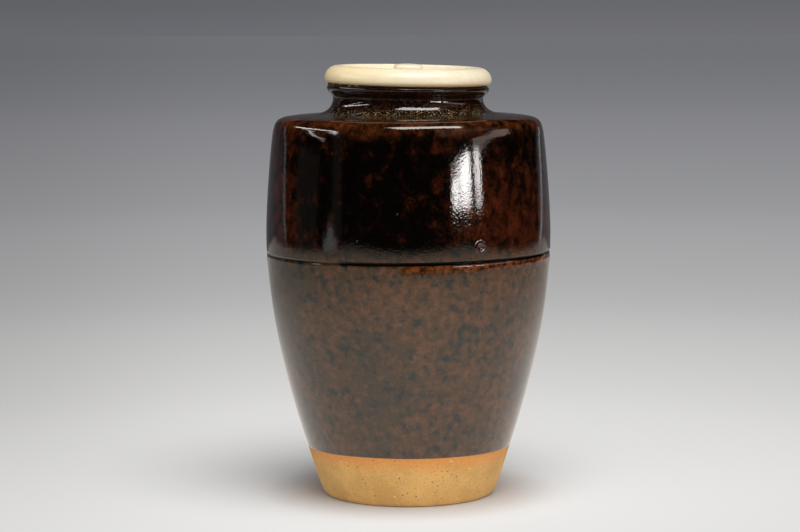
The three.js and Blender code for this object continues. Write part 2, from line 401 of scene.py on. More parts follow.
def hollow_outline():
    """The inside of the clay, from the end of the glaze in the mouth to the middle of the floor."""
    wall = inset(wall_between(10.0, 76.5, 1.1), WALL_THICKNESS)[::-1]
    top, bottom = wall[0], wall[-1]
    under_neck = (MOUTH_RADIUS + 4.5, CEILING_HEIGHT)
    neck = bend((MOUTH_RADIUS + GLAZE_THICKNESS, MOUTH_GLAZE_END - 0.2), (MOUTH_RADIUS + 0.1, 80.6),
                (MOUTH_RADIUS + 1.2, CEILING_HEIGHT + 0.2), under_neck, 10)
    ceiling = bend(under_neck, (22.0, CEILING_HEIGHT - 0.3), (top[0], CEILING_HEIGHT - 0.2), top, 12)
    floor_edge = bottom[0] - FLOOR_FILLET
    fillet = quarter(bottom, (bottom[0] - 1.0, FLOOR_HEIGHT), (floor_edge, FLOOR_HEIGHT), 12)
    return chain(neck, ceiling, wall, fillet, level(floor_edge, 0.0, FLOOR_HEIGHT, 30))


def make_clay_body(material):
    """The whole jar in clay: base, foot, the wall under the glaze, and the hollow."""
    corner_end = (wall_radius(BASE_CORNER_HEIGHT), BASE_CORNER_HEIGHT)
    corner = bend((BASE_FLAT_RADIUS, 0.0), (18.5, 0.0), (18.72, 0.35), corner_end, 8)
    foot_end = GLAZE_LINE + 1.5
    foot = wall_between(BASE_CORNER_HEIGHT, foot_end, 0.25)
    wall = chain(
        wall_between(foot_end, FINE_FROM, 1.2),
        wall_between(FINE_FROM, FINE_TO, 0.2),
        wall_between(FINE_TO, SHOULDER_START[1], 1.5),
    )
    covered = chain(foot, wall, face_above_wall()[::2])
    depth = GLAZE_THICKNESS * smooth(np.arange(len(covered)), 4, len(foot) - 8)
    base = level(0.0, BASE_FLAT_RADIUS, 0.0, 100)
    outline = chain(base, corner, inset(covered, depth), hollow_outline())
    piece = turn_outline("clay_body_thrown", outline, even_angles(288), clay_shape)
    return finish_piece(piece, material, "jar", "clay", "clay_body")


def glaze_shape(angle, radius, height):
    """Lays the glaze on the thrown wall, down to its uneven line, with the scored line and blister."""
    on_wall = height < SHOULDER_START[1] + 0.01
    outside = radius > MOUTH_RADIUS + 2.0
    shift = (glaze_line(angle) - GLAZE_LINE) * (1 - smooth(height, GLAZE_LINE + 1.0, GLAZE_LINE + 9.0))
    lowered = height + shift
    follow = wall_radius(lowered) - wall_radius(height)
    moved = throwing(angle, height) + scoring(angle, height) + blister(angle, height)
    radius = radius + np.where(on_wall & outside, follow + moved, 0.0)
    in_mouth = (radius < MOUTH_RADIUS + 0.5) & (height < LIP_TOP - 2.0)
    drip = (mouth_line(angle) - MOUTH_GLAZE_END) * (1 - smooth(height, MOUTH_GLAZE_END + 0.5, LIP_TOP - 2.0))
    height = np.where(on_wall & outside, lowered, height) + np.where(in_mouth, drip, 0.0)
    pull = 0.03 * ripple(angle, height, 0.9, 4, 30.0)
    rolled = (height > LIP_TOP - 3.0) & (radius > MOUTH_RADIUS + 0.6)
    height = height + np.where(on_wall & outside, 0.0, mouth_rise(angle, radius, height))
    return radius + np.where(rolled, pull, 0.0), height


def rolled_ends(face):
    """How far a skin sinks along its face, in parts of its depth: 1 at both ends, and 0 between them."""
    travelled = np.concatenate(([0], np.cumsum(np.linalg.norm(np.diff(face, axis=0), axis=1))))
    start = np.clip(travelled / GLAZE_EDGE, 0, 1)
    end = np.clip((travelled[-1] - travelled) / GLAZE_EDGE, 0, 1)
    return 2.0 - np.sqrt(1 - (1 - start) ** 2) - np.sqrt(1 - (1 - end) ** 2)


def make_glaze(material):
    """The glaze: a thin closed skin with a rolled edge, over the lip and into the mouth.

    Its rows are close together at its lower edge, over the scored line and by the burst bubble.
    """
    edge_end = GLAZE_LINE + 1.2
    face = chain(
        wall_between(GLAZE_LINE, edge_end, 0.1),
        wall_between(edge_end, FINE_FROM, 0.75),
        wall_between(FINE_FROM, FINE_TO, 0.11),
        wall_between(FINE_TO, 56.1, 0.35),
        wall_between(56.1, 58.7, 0.14),
        wall_between(58.7, SHOULDER_START[1], 0.6),
        face_above_wall(),
    )
    outer = inset(face, GLAZE_THICKNESS * 1.4 * rolled_ends(face))
    inner = inset(face[::4], GLAZE_THICKNESS * 1.6)[::-1]
    angles = crowded_angles(384, BLISTER_ANGLE, 0.55)
    piece = turn_outline("glaze_skin", chain(outer, inner), angles, glaze_shape)
    return finish_piece(piece, material, "jar", "glaze", "glaze_coat")


# -----------------------------------------------------------------------------
# The lid
# -----------------------------------------------------------------------------

def lid_lean():
    """The small tilt of the lid on its seat, about the middle of the lip."""
    seat = Matrix.Translation((0, 0, LIP_TOP))
    forward = Matrix.Rotation(LID_LEAN_FORWARD, 4, "X")
    right = Matrix.Rotation(LID_LEAN_RIGHT, 4, "Y")
    return seat @ forward @ right @ seat.inverted()


def lid_shape(angle, radius, height):
    """Faint turning lines and a rim that is not quite even."""
    lines = 0.008 * np.sin(2 * math.pi * radius / 0.9)
    on_floor = (height > RECESS_FLOOR - 0.1) & (height < RECESS_FLOOR + 0.1) & (radius > 2.0)
    rim = 0.03 * ripple(angle, height, 5.2, 2, 12.0) * smooth(radius, 15.0, 17.5)
    return radius + rim, height + np.where(on_floor, lines, 0.0)


def make_lid_disc(material):
    """The turned lid, from the middle of its spigot to the hole that takes the knob's tenon."""
    bottom = LID_LOW.z
    side = bottom + LID_CORNER
    widest = (LID_RADIUS, LID_WIDEST)
    underside_edge = (17.25, LID_UNDERSIDE)
    recess_corner = (RECESS_RADIUS, RECESS_FLOOR + LID_CORNER)
    recess_edge = RECESS_RADIUS - LID_CORNER
    hole = KNOB_HIGH.x - 1.8
    hole_end = KNOB_LOW.z - 0.2
    outline = chain(
        level(0.0, SPIGOT_RADIUS - LID_CORNER, bottom, 12),
        quarter((SPIGOT_RADIUS - LID_CORNER, bottom), (SPIGOT_RADIUS, bottom), (SPIGOT_RADIUS, side), 5),
        bend((SPIGOT_RADIUS, side), (SPIGOT_RADIUS, 87.6), (SPIGOT_RADIUS, 88.6),
             (SPIGOT_RADIUS, LID_UNDERSIDE), 4),
        bend((SPIGOT_RADIUS, LID_UNDERSIDE), (14.0, LID_UNDERSIDE), (16.0, LID_UNDERSIDE),
             underside_edge, 8),
        quarter(underside_edge, (LID_RADIUS, LID_UNDERSIDE), widest, 14),
        quarter(widest, (LID_RADIUS, RIM_CREST[1]), RIM_CREST, 28),
        quarter(RIM_CREST, (RECESS_RADIUS, RIM_CREST[1]), recess_corner, 12),
        quarter(recess_corner, (RECESS_RADIUS, RECESS_FLOOR), (recess_edge, RECESS_FLOOR), 5),
        level(recess_edge, hole, RECESS_FLOOR, 60),
        (hole, hole_end),
        (0.0, hole_end),
    )
    piece = turn_outline("ivory_lid", outline, even_angles(256), lid_shape, lid_lean())
    return finish_piece(piece, material, "lid", "ivory", "lid_disc")


def make_knob(material):
    """The button: a tenon, a tight waist where it meets the lid, a round side and a domed top."""
    radius, top = KNOB_HIGH.x, KNOB_HIGH.z
    seat = RECESS_FLOOR + 0.03
    tenon = radius - 2.0
    waist = (radius - 0.75, seat)
    side = (radius, seat + 0.65)
    dome_edge = (radius - 1.1, top - 0.12)
    outline = chain(
        (0.0, KNOB_LOW.z),
        (tenon, KNOB_LOW.z),
        (tenon, seat),
        waist,
        quarter(waist, (radius, seat + 0.05), side, 8),
        quarter(side, (radius, dome_edge[1]), dome_edge, 12),
        bend(dome_edge, (radius - 1.8, top - 0.02), (1.0, top), (0.0, top), 10),
    )
    piece = turn_outline("ivory_knob", outline, even_angles(96), None, lid_lean())
    return finish_piece(piece, material, "lid", "ivory", "lid_knob")


def leaf_shape(angle, radius, height):
    """Wrinkles, a torn edge, and folds that fill the gap where the lid leans away from the lip."""
    flange = smooth(radius, 15.0, 16.6)
    torn = 0.22 * ripple(angle, 0.0, 2.2, 9, 5.0) + 0.16 * ripple(angle, 0.0, 0.7, 23, 5.0)
    crease = 0.018 * ripple(angle, radius, 1.9, 11, 3.0)
    lower_face = (height < LID_UNDERSIDE - 0.1) & (radius > SPIGOT_RADIUS + 0.6)
    lifted = LID_LEAN_RIGHT * radius * np.maximum(-np.sin(angle), 0)
    lifted += LID_LEAN_FORWARD * radius * np.maximum(-np.cos(angle), 0)
    fold = np.where(lower_face, 0.06 + lifted, 0.0)
    under_spigot = smooth(LEAF_LOW.z + 1.0 - height, 0.0, 0.6)
    return radius + torn * flange, height + crease * (flange + under_spigot) - fold


def make_leaf(material):
    """The gold-leafed paper over the spigot and under the lid's rim."""
    face = LID_UNDERSIDE - 0.03
    back = face - LEAF_THICKNESS
    cap = LID_LOW.z - 0.04
    cap_back = cap - LEAF_THICKNESS
    inner = SPIGOT_RADIUS + 0.04
    outer = inner + LEAF_THICKNESS
    edge = LEAF_HIGH.x + 0.1
    corner_end = (outer, cap_back + LEAF_CORNER)
    outline = chain(
        level(0.0, outer - LEAF_CORNER, cap_back, 24),
        quarter((outer - LEAF_CORNER, cap_back), (outer, cap_back), corner_end, 5),
        bend(corner_end, (outer, 87.5), (outer, 88.4), (outer, back), 6),
        level(outer, edge, back, 24),
        level(edge, inner, face, 24),
        (inner, cap),
        (0.0, cap),
    )
    piece = turn_outline("gold_leaf", outline, even_angles(288), leaf_shape, lid_lean())
    return finish_piece(piece, material, "lid", "gold_leaf", "gold_leaf_lining")


# -----------------------------------------------------------------------------
# Materials
# -----------------------------------------------------------------------------

# Colours, as linear red, green and blue.
BLACK = (0.0, 0.0, 0.0)
GLAZE_BLACK = (0.0015, 0.0009, 0.0005)
GLAZE_RED = (0.064, 0.0125, 0.0038)
SHOULDER_AMBER = (0.10, 0.026, 0.006)
NECK_BLACK = (0.004, 0.002, 0.001)
NECK_RED = (0.042, 0.010, 0.0035)
NECK_DUST = (0.85, 0.70, 0.35)
SCORED_SHADE_BLACK = (0.0015, 0.0010, 0.0008)
HAZE_OLIVE = (0.047, 0.0285, 0.011)
HAZE_BROWN = (0.067, 0.0285, 0.007)
HAZE_SLATE = (0.008, 0.012, 0.011)
HAZE_RUST = (0.124, 0.051, 0.020)
HAZE_DOTS = (0.010, 0.008, 0.006)
LEDGE_DARK = (0.020, 0.006, 0.002)
LEDGE_AMBER = (0.17, 0.048, 0.013)
CLAY_BUFF = (0.60, 0.335, 0.095)
CLAY_WARM = (0.74, 0.425, 0.130)
CLAY_FLUSH = (0.74, 0.30, 0.070)
CLAY_DARK_GRAIN = (0.46, 0.25, 0.08)
CLAY_PALE_GRAIN = (0.86, 0.60, 0.28)
CLAY_PIT_SHADE = (0.10, 0.045, 0.018)
CLAY_GRIT = (0.85, 0.72, 0.48)
IVORY_CREAM = (0.83, 0.73, 0.53)
IVORY_PALE = (0.89, 0.80, 0.62)
IVORY_CLOUD = (0.80, 0.64, 0.38)
IVORY_HONEY_AND_LIGHT = (0.96, 0.74, 0.36)
IVORY_EDGE_SHADE = (0.80, 0.52, 0.24)
IVORY_CREST_SHADE = (0.66, 0.50, 0.28)
LEAF_DEEP = (0.80, 0.50, 0.17)
LEAF_BRIGHT = (0.93, 0.66, 0.27)
LEAF_SQUARE = (0.62, 0.34, 0.12)
LEAF_PAPER_SHADE = (0.030, 0.014, 0.006)


class Nodes:
    """A material's node tree, with short calls for the nodes that the materials here are made of."""

    def __init__(self, name):
        self.material = bpy.data.materials.new(name)
        self.material.use_nodes = True
        self.tree = self.material.node_tree
        self.shader = self.tree.nodes["Principled BSDF"]
        self.place = self.scaled_coordinates()
        self.split = self.add("ShaderNodeSeparateXYZ", (self.place,))

    def add(self, kind, inputs=(), **settings):
        """Adds a node. Inputs are set by position: a socket is linked, None is left, a value is set."""
        node = self.tree.nodes.new(kind)
        for key, value in settings.items():
            setattr(node, key, value)
        for socket, value in zip(node.inputs, inputs):
            self.give(socket, value)
        return node

    def give(self, socket, value):
        """Links or sets one input."""
        if isinstance(value, bpy.types.NodeSocket):
            self.tree.links.new(value, socket)
        elif value is not None:
            socket.default_value = value

    def scaled_coordinates(self):
        """Object coordinates in millimetres."""
        coordinates = self.add("ShaderNodeTexCoord")
        scaled = self.add("ShaderNodeVectorMath", operation="SCALE")
        self.give(scaled.inputs[0], coordinates.outputs["Object"])
        self.give(scaled.inputs["Scale"], 1 / MM)
        return scaled.outputs[0]

    def math(self, operation, first, second=None, third=None):
        """The result of one arithmetic node."""
        return self.add("ShaderNodeMath", (first, second, third), operation=operation).outputs[0]

    def radial(self):
        """The distance from the axis, in millimetres."""
        x, y, _ = self.split.outputs
        squares = self.math("ADD", self.math("MULTIPLY", x, x), self.math("MULTIPLY", y, y))
        return self.math("SQRT", squares)

    def noise(self, scale, detail=2.0, roughness=0.5, distortion=0.0, stretch=None):
        """Noise with features about 1 / scale millimetres across, optionally squeezed along an axis."""
        vector = self.place
        if stretch:
            vector = self.add("ShaderNodeVectorMath", (self.place, stretch), operation="MULTIPLY").outputs[0]
        node = self.add("ShaderNodeTexNoise")
        settings = {"Vector": vector, "Scale": scale, "Detail": detail, "Roughness": roughness,
                    "Distortion": distortion}
        for key, value in settings.items():
            self.give(node.inputs[key], value)
        return node.outputs["Fac"]

    def specks(self, scale, radius, spread=0.25):
        """1 in small round specks, one to a cell of 1 / scale millimetres, and 0 between them."""
        node = self.add("ShaderNodeTexVoronoi")
        self.give(node.inputs["Vector"], self.place)
        self.give(node.inputs["Scale"], scale)
        return self.ramp(node.outputs["Distance"], radius * (1 + spread), radius * (1 - spread))

    def ramp(self, value, low, high, to_low=0.0, to_high=1.0):
        """A smooth step from to_low at low to to_high at high; low may be above high."""
        node = self.add("ShaderNodeMapRange", (value, low, high, to_low, to_high),
                        interpolation_type="SMOOTHSTEP")
        return node.outputs[0]

    def band(self, value, low, high, soft):
        """1 between low and high, and 0 outside, with soft edges."""
        return self.math("MULTIPLY", self.ramp(value, low - soft, low + soft),
                         self.ramp(value, high + soft, high - soft))

    def mix(self, factor, first, second):
        """The first colour where factor is 0, and the second where it is 1."""
        node = self.add("ShaderNodeMix", data_type="RGBA", blend_type="MIX")
        self.give(node.inputs[0], factor)
        self.give(node.inputs[6], first if isinstance(first, bpy.types.NodeSocket) else (*first, 1))
        self.give(node.inputs[7], second if isinstance(second, bpy.types.NodeSocket) else (*second, 1))
        return node.outputs[2]

    def bump(self, height, depth, below=None):
        """A bump whose full height is depth millimetres, on top of another bump."""
        node = self.add("ShaderNodeBump")
        self.give(node.inputs["Height"], height)
        self.give(node.inputs["Distance"], depth * MM)
        self.give(node.inputs["Strength"], 1.0)
        if below:
            self.give(node.inputs["Normal"], below)
        return node.outputs[0]

    def set(self, **values):
        """Sets the shader's inputs by name, with underscores for spaces."""
        for key, value in values.items():
            self.give(self.shader.inputs[key.replace("_", " ")], value)


def make_glaze_material():
    """Iron glaze: black where it is thick, amber at the shoulder, rusty and hazy below the scored line."""
    n = Nodes("iron_glaze")
    x, y, z = n.split.outputs
    cloud = n.noise(0.09, 2.0, 0.5)
    blotch = n.noise(0.44, 4.0, 0.62, 0.2, (1.0, 1.0, 0.85))
    grain = n.noise(1.5, 3.0, 0.65)
    lower = lower_glaze(n, x, z, cloud, blotch, grain)
    upper = upper_glaze(n, x, y, z, cloud, blotch, grain)
    body = n.mix(n.ramp(z, GROOVE_HEIGHT + 3.5, GROOVE_HEIGHT - 0.5), upper, lower)
    body, dust = neck_glaze(n, z, grain, body)
    # Painted shade: the bottom of the scored line is painted black, and its shine lowered.
    scored = scored_line_shade(n, x, z)
    body = n.mix(scored, body, SCORED_SHADE_BLACK)
    roughness = n.math("MULTIPLY_ADD", grain, 0.05, 0.03)
    shine = n.math("MULTIPLY_ADD", scored, -0.45, 0.5)
    n.set(Base_Color=body, Roughness=roughness, IOR=1.58, Specular_IOR_Level=shine,
          Normal=glaze_relief(n, z, dust))
    return n.material


def glaze_relief(n, z, dust):
    """Bumps in the glaze: a slow swell, orange peel, the dust on the neck, and a few raised specks."""
    swell = n.noise(0.25, 1.0, 0.5)
    peel = n.math("MULTIPLY", n.noise(2.6, 1.0, 0.5), n.ramp(z, 57.0, 62.0, 1.0, 1.15))
    lumps = n.bump(swell, 0.006)
    lumps = n.bump(peel, 0.0105, lumps)
    lumps = n.bump(dust, 0.006, lumps)
    return n.bump(n.specks(0.28, 0.045), 0.05, lumps)


def neck_glaze(n, z, grain, body):
    """The colour with the shoulder's flat top and the neck on it, and the mask of the dust there.

    The neck is black and dark red, with a ring of painted dark reflection round its foot and pale dust in
    the hollow above.
    """
    radial = n.radial()
    collar = n.math("MULTIPLY", n.ramp(z, 82.4, 82.9), n.ramp(radial, 27.0, 20.0))
    body = n.mix(collar, body, n.mix(n.ramp(grain, 0.46, 0.66), NECK_BLACK, NECK_RED))
    # Painted reflection: the flat top round the neck's foot is painted black, as it mirrors the dark room.
    ring = n.math("MULTIPLY", n.band(radial, 20.4, 23.0, 0.7), collar)
    body = n.mix(n.math("MULTIPLY", ring, 0.85), body, NECK_BLACK)
    grains = n.math("MAXIMUM", n.specks(2.1, 0.18), n.math("MULTIPLY", n.specks(3.3, 0.22), 0.4))
    drift = n.ramp(n.noise(0.5, 3.0, 0.6), 0.30, 0.55)
    settled = n.math("MULTIPLY", n.ramp(z, 86.0, 83.0), collar)
    dust = n.math("MULTIPLY", n.math("MULTIPLY", grains, drift), settled)
    return n.mix(dust, body, NECK_DUST), dust


def upper_glaze(n, x, y, z, cloud, blotch, grain):
    """Colour above the scored line: nearly black, dark red towards the right, amber at the shoulder."""
    soft = n.math("MULTIPLY_ADD", grain, 0.28, n.math("MULTIPLY", blotch, 0.72))
    turned = n.math("MULTIPLY_ADD", y, 0.4, x)
    right = n.ramp(turned, -14.0, 9.0)
    edge = n.ramp(x, -21.5, -25.0)
    low_right = n.math("MULTIPLY", right, n.ramp(z, 82.0, 62.0))
    rust = n.math("MULTIPLY_ADD", n.math("MAXIMUM", low_right, edge), 0.165, soft)
    rust = n.math("MULTIPLY_ADD", n.math("SUBTRACT", cloud, 0.81), 0.25, rust)
    rust = n.math("ADD", rust, n.ramp(turned, -14.0, -2.0, -0.012, 0.01))
    colour = n.mix(n.ramp(rust, 0.42, 0.80), GLAZE_BLACK, GLAZE_RED)
    shoulder = n.math("MULTIPLY", n.ramp(z, 78.0, 82.6), n.ramp(soft, 0.36, 0.68))
    return n.mix(shoulder, colour, SHOULDER_AMBER)


def scored_line_shade(n, x, z):
    """1 along the bottom of the scored line, where the glaze is painted black as shade and its shine is
    lowered.
    """
    across = n.math("DIVIDE", x, BELLY_RADIUS)
    centre = n.math("MULTIPLY_ADD", across, GROOVE_RISE, GROOVE_HEIGHT)
    off = n.math("ABSOLUTE", n.math("SUBTRACT", z, n.math("SUBTRACT", centre, 0.12)))
    return n.math("MULTIPLY", n.ramp(off, 0.55, 0.28), n.ramp(x, -17.0, -12.0, 0.5, 1.0))


def lower_glaze(n, x, z, cloud, blotch, grain):
    """Colour below the scored line: a brown haze mottled with rust and slate, and amber on the ledge."""
    side = n.math("MULTIPLY_ADD", x, 0.0035, cloud)
    brown = n.mix(n.ramp(side, 0.36, 0.62), HAZE_OLIVE, HAZE_BROWN)
    slate = n.math("MULTIPLY_ADD", n.noise(0.50, 2.0, 0.5), 0.7, n.math("MULTIPLY", blotch, 0.3))
    colour = n.mix(n.ramp(slate, 0.54, 0.36), brown, HAZE_SLATE)
    rust = n.math("MULTIPLY_ADD", n.noise(0.65, 2.0, 0.5), 0.7, n.math("MULTIPLY", side, 0.3))
    colour = n.mix(n.ramp(rust, 0.42, 0.72), colour, HAZE_RUST)
    dots = n.math("MULTIPLY_ADD", n.noise(2.4, 1.0, 0.5), 0.5, n.math("MULTIPLY", grain, 0.5))
    colour = n.mix(n.ramp(dots, 0.60, 0.36, 0.0, 0.35), colour, HAZE_DOTS)
    mottle = n.math("MULTIPLY_ADD", grain, 0.4, n.math("MULTIPLY", n.noise(0.7, 2.0), 0.6))
    amber = n.mix(n.ramp(mottle, 0.36, 0.64), LEDGE_DARK, LEDGE_AMBER)
    return n.mix(ledge_mask(n, x, z, grain), colour, amber)


def ledge_mask(n, x, z, grain):
    """1 on the ledge under the scored line, from the front round to the right, with a ragged lower edge."""
    bottom = n.math("MULTIPLY_ADD", grain, -1.6, GROOVE_HEIGHT - 1.0)
    above_bottom = n.ramp(n.math("SUBTRACT", z, bottom), -0.6, 0.4)
    ledge = n.math("MULTIPLY", n.ramp(x, -2.5, 0.5), above_bottom)
    return n.math("MULTIPLY", ledge, n.ramp(z, GROOVE_HEIGHT + 0.8, GROOVE_HEIGHT + 0.2))


def make_clay_material():
    """Dry buff stoneware, flushed orange next to the glaze, with dark and pale grains and small pits with
    painted shade in them.
    """
    n = Nodes("buff_clay")
    z = n.split.outputs["Z"]
    cloud = n.noise(0.12, 3.0, 0.6)
    grain = n.noise(2.8, 3.0, 0.65)
    trimming = n.noise(0.9, 2.0, 0.5, 0.0, (0.05, 0.05, 2.6))
    uneven = n.math("MULTIPLY_ADD", n.noise(0.25, 2.0), 3.0, -1.5)
    flush = n.ramp(n.math("ADD", z, uneven), GLAZE_LINE - 3.6, GLAZE_LINE + 0.4)
    flush = n.math("MULTIPLY", flush, n.ramp(z, GLAZE_LINE + 6.0, GLAZE_LINE + 5.0))
    pits = n.math("MULTIPLY", n.specks(0.85, 0.115), n.ramp(n.noise(0.5, 1.0), 0.44, 0.5))
    colour = n.mix(n.ramp(cloud, 0.35, 0.65), CLAY_BUFF, CLAY_WARM)
    colour = n.mix(flush, colour, CLAY_FLUSH)
    colour = n.mix(n.ramp(grain, 0.44, 0.32), colour, CLAY_DARK_GRAIN)
    colour = n.mix(n.ramp(grain, 0.62, 0.72), colour, CLAY_PALE_GRAIN)
    # Painted shade: the pits are coloured dark where shade falls inside them.
    colour = n.mix(pits, colour, CLAY_PIT_SHADE)
    colour = n.mix(n.specks(0.21, 0.035), colour, CLAY_GRIT)
    rough = n.bump(grain, 0.05)
    rough = n.bump(trimming, 0.05, rough)
    rough = n.bump(n.math("SUBTRACT", 1.0, pits), 0.12, rough)
    n.set(Base_Color=colour, Roughness=n.math("MULTIPLY_ADD", grain, 0.2, 0.7), Normal=rough)
    return n.material


def make_ivory_material():
    """Polished cream material with a faint grain, with painted warm shade at its lower edge, a warmer tone
    and painted light at the rim's left, and a painted shade line inside the rim's crest.
    """
    n = Nodes("ivory")
    x, _, z = n.split.outputs
    radial = n.radial()
    grain = n.noise(0.35, 4.0, 0.6, 0.2, (0.25, 3.0, 1.0))
    cloud = n.noise(0.07, 2.0)
    # Partly a warmer tone, partly painted light: the rim's left is tinted warmer and brighter.
    left = n.math("MULTIPLY", n.ramp(x, 4.0, -18.0), n.ramp(radial, 15.0, 16.8))
    # Painted shade: the lower edge of the rim is coloured darker and warmer.
    edge = n.ramp(z, LID_WIDEST + 0.4, LID_UNDERSIDE - 0.2)
    # Painted shade: a darker band on the inner side of the rim's crest.
    crest_shade = n.math("MULTIPLY", n.band(radial, 14.8, 15.7, 0.25), n.ramp(z, 93.0, 93.3))
    colour = n.mix(n.ramp(grain, 0.3, 0.7), IVORY_CREAM, IVORY_PALE)
    colour = n.mix(n.math("MULTIPLY", cloud, 0.35), colour, IVORY_CLOUD)
    colour = n.mix(n.math("MULTIPLY", left, 0.6), colour, IVORY_HONEY_AND_LIGHT)
    colour = n.mix(n.math("MULTIPLY", edge, 0.65), colour, IVORY_EDGE_SHADE)
    colour = n.mix(n.math("MULTIPLY", crest_shade, 0.5), colour, IVORY_CREST_SHADE)
    n.set(Base_Color=colour, Roughness=n.math("MULTIPLY_ADD", grain, 0.15, 0.24), IOR=1.53,
          Normal=n.bump(n.noise(1.4, 3.0), 0.012))
    n.set(Subsurface_Weight=0.25, Subsurface_Scale=0.0015, Subsurface_Radius=(1.0, 0.7, 0.4))
    return n.material


def make_leaf_material():
    """Gold leaf on brown paper: bright and creased, worn to flecks at the torn edge under the rim, where the
    bare paper is painted as dark as the shade there.
    """
    n = Nodes("gold_leaf")
    crease = n.noise(0.55, 4.0, 0.7, 1.2)
    squares = n.noise(0.12, 1.0)
    # Worn leaf and painted shade: the bare paper under the rim is as dark as the shade there.
    worn = n.math("MULTIPLY", n.ramp(n.radial(), 15.6, 16.4), n.ramp(n.noise(0.9, 2.0), 0.70, 0.64))
    gold = n.mix(n.ramp(crease, 0.35, 0.65), LEAF_DEEP, LEAF_BRIGHT)
    gold = n.mix(n.ramp(squares, 0.56, 0.6, 0.0, 0.35), gold, LEAF_SQUARE)
    colour = n.mix(worn, gold, LEAF_PAPER_SHADE)
    roughness = n.math("MULTIPLY_ADD", crease, 0.3, 0.2)
    n.set(Base_Color=colour, Metallic=n.math("SUBTRACT", 1.0, worn), Roughness=roughness,
          Normal=n.bump(crease, 0.15))
    return n.material


# -----------------------------------------------------------------------------
# The stage: floor, reflections, lights and camera
# -----------------------------------------------------------------------------

# The pale floor's colour holds a painted falloff of light, darker with distance: (metres from the jar,
# linear colour).
FLOOR_PAINTED_FALLOFF = (
    (0.0, (0.833, 0.828, 0.810)),
    (0.12, (0.635, 0.630, 0.615)),
    (0.33, (0.415, 0.414, 0.410)),
    (0.77, (0.276, 0.277, 0.284)),
    (2.2, (0.182, 0.184, 0.195)),
    (6.0, (0.141, 0.145, 0.156)),
)
FLOOR_REACH = 12.0
TABLE_REACH = 0.45

# The floor carries painted shade at the left of the view, which is taken from this many millimetres in
# front.
VIEW_DISTANCE = 507.0

# How far the jar's painted contact shadow on the floor reaches, in metres, how deep it is, and its colour.
CONTACT_REACH = 0.018
CONTACT_DEPTH = 0.36
PAINTED_SHADOW_BROWN = (0.12, 0.06, 0.03)

# What the glaze mirrors stands round a point on the jar's axis, this far from it, in metres.
MIRRORED_MIDDLE = 0.07
MIRRORED_DISTANCE = 1.6

# The window's panes, in degrees round the jar, and how bright each is.
PANE_START = 35.4
PANE_WIDTH = 4.0
PANE_RADIANCES = (22.0, 16.0, 23.0, 19.0)
WINDOW_PINK = (1.0, 0.965, 0.95)

SUN_WIDTH = math.radians(44)
SUN_STRENGTH = 2.2

# The camera, in metres and degrees.
CAMERA_PLACE = (-0.00185, -0.5071, 0.1041)
CAMERA_TIP = 6.12
CAMERA_ROLL = -0.19
LENS = 105.0


def plane(name, half_x, half_y, place):
    """A flat rectangle at a place, facing up."""
    mesh = bpy.data.meshes.new(name)
    corners = [(-half_x, -half_y, 0), (half_x, -half_y, 0), (half_x, half_y, 0), (-half_x, half_y, 0)]
    mesh.from_pydata(corners, [], [(0, 1, 2, 3)])
    thing = bpy.data.objects.new(name, mesh)
    thing.location = place
    bpy.context.scene.collection.objects.link(thing)
    return thing


def painted_falloff_colour(n, distance):
    """The floor's colour at a distance in millimetres, with its painted falloff of light, on a curve over
    the square root of it.
    """
    reach = FLOOR_PAINTED_FALLOFF[-1][0]
    fade = n.add("ShaderNodeValToRGB", (n.math("SQRT", n.math("DIVIDE", distance, reach / MM)),))
    ramp = fade.color_ramp
    ramp.interpolation = "CARDINAL"
    for place, _ in FLOOR_PAINTED_FALLOFF[1:-1]:
        ramp.elements.new(math.sqrt(place / reach))
    ramp.elements[-1].position = 1.0
    for element, (_, colour) in zip(ramp.elements, FLOOR_PAINTED_FALLOFF):
        element.color = (*colour, 1)
    return fade.outputs[0]


def make_floor():
    """A wide pale floor with painted light: it fades to grey with distance, and has painted shade at the far
    left and a painted contact shadow by the jar.

    The glaze doesn't mirror it: it mirrors a smaller table.
    """
    floor = plane("floor", FLOOR_REACH, FLOOR_REACH, (0, 0, 0))
    floor.visible_glossy = False
    n = Nodes("floor_paper")
    x, y, _ = n.split.outputs
    # Painted shade: the floor's colour darkens towards the left of the view.
    slant = n.math("DIVIDE", x, n.math("MAXIMUM", n.math("ADD", y, VIEW_DISTANCE), 400.0))
    left = n.math("MULTIPLY", n.ramp(slant, -0.05, -0.20), n.ramp(y, -150.0, 150.0))
    colour = n.mix(n.math("MULTIPLY", left, 0.18), painted_falloff_colour(n, n.radial()), BLACK)
    # Painted shadow: the floor's colour darkens to brown where the jar occludes it.
    covered = n.add("ShaderNodeAmbientOcclusion", (None, CONTACT_REACH), samples=8).outputs["AO"]
    colour = n.mix(n.ramp(covered, 0.95, 0.45, 0.0, CONTACT_DEPTH), colour, PAINTED_SHADOW_BROWN)
    n.set(Base_Color=colour, Roughness=1.0, Specular_IOR_Level=0.0)
    floor.data.materials.append(n.material)


def make_table():
    """What the glaze mirrors below the horizon: a plane that glows in place of a lit white table, with
    painted light brightest near the jar and at the right.
    """
    table = plane("mirrored_table", TABLE_REACH, TABLE_REACH, (0, 0, -0.0002))
    table.visible_camera = False
    table.visible_diffuse = False
    table.visible_shadow = False
    n = Nodes("table_glow")
    # Painted light: the glow falls off away from the jar and rises towards the right.
    near = n.ramp(n.radial(), 20.0, 300.0, 0.92, 0.36)
    side = n.ramp(n.split.outputs["X"], -200.0, 150.0, 1.08, 1.3)
    n.set(Base_Color=(*BLACK, 1), Roughness=1.0, Specular_IOR_Level=0.0,
          Emission_Color=(1.0, 0.945, 0.88, 1), Emission_Strength=n.math("MULTIPLY", near, side))
    table.data.materials.append(n.material)


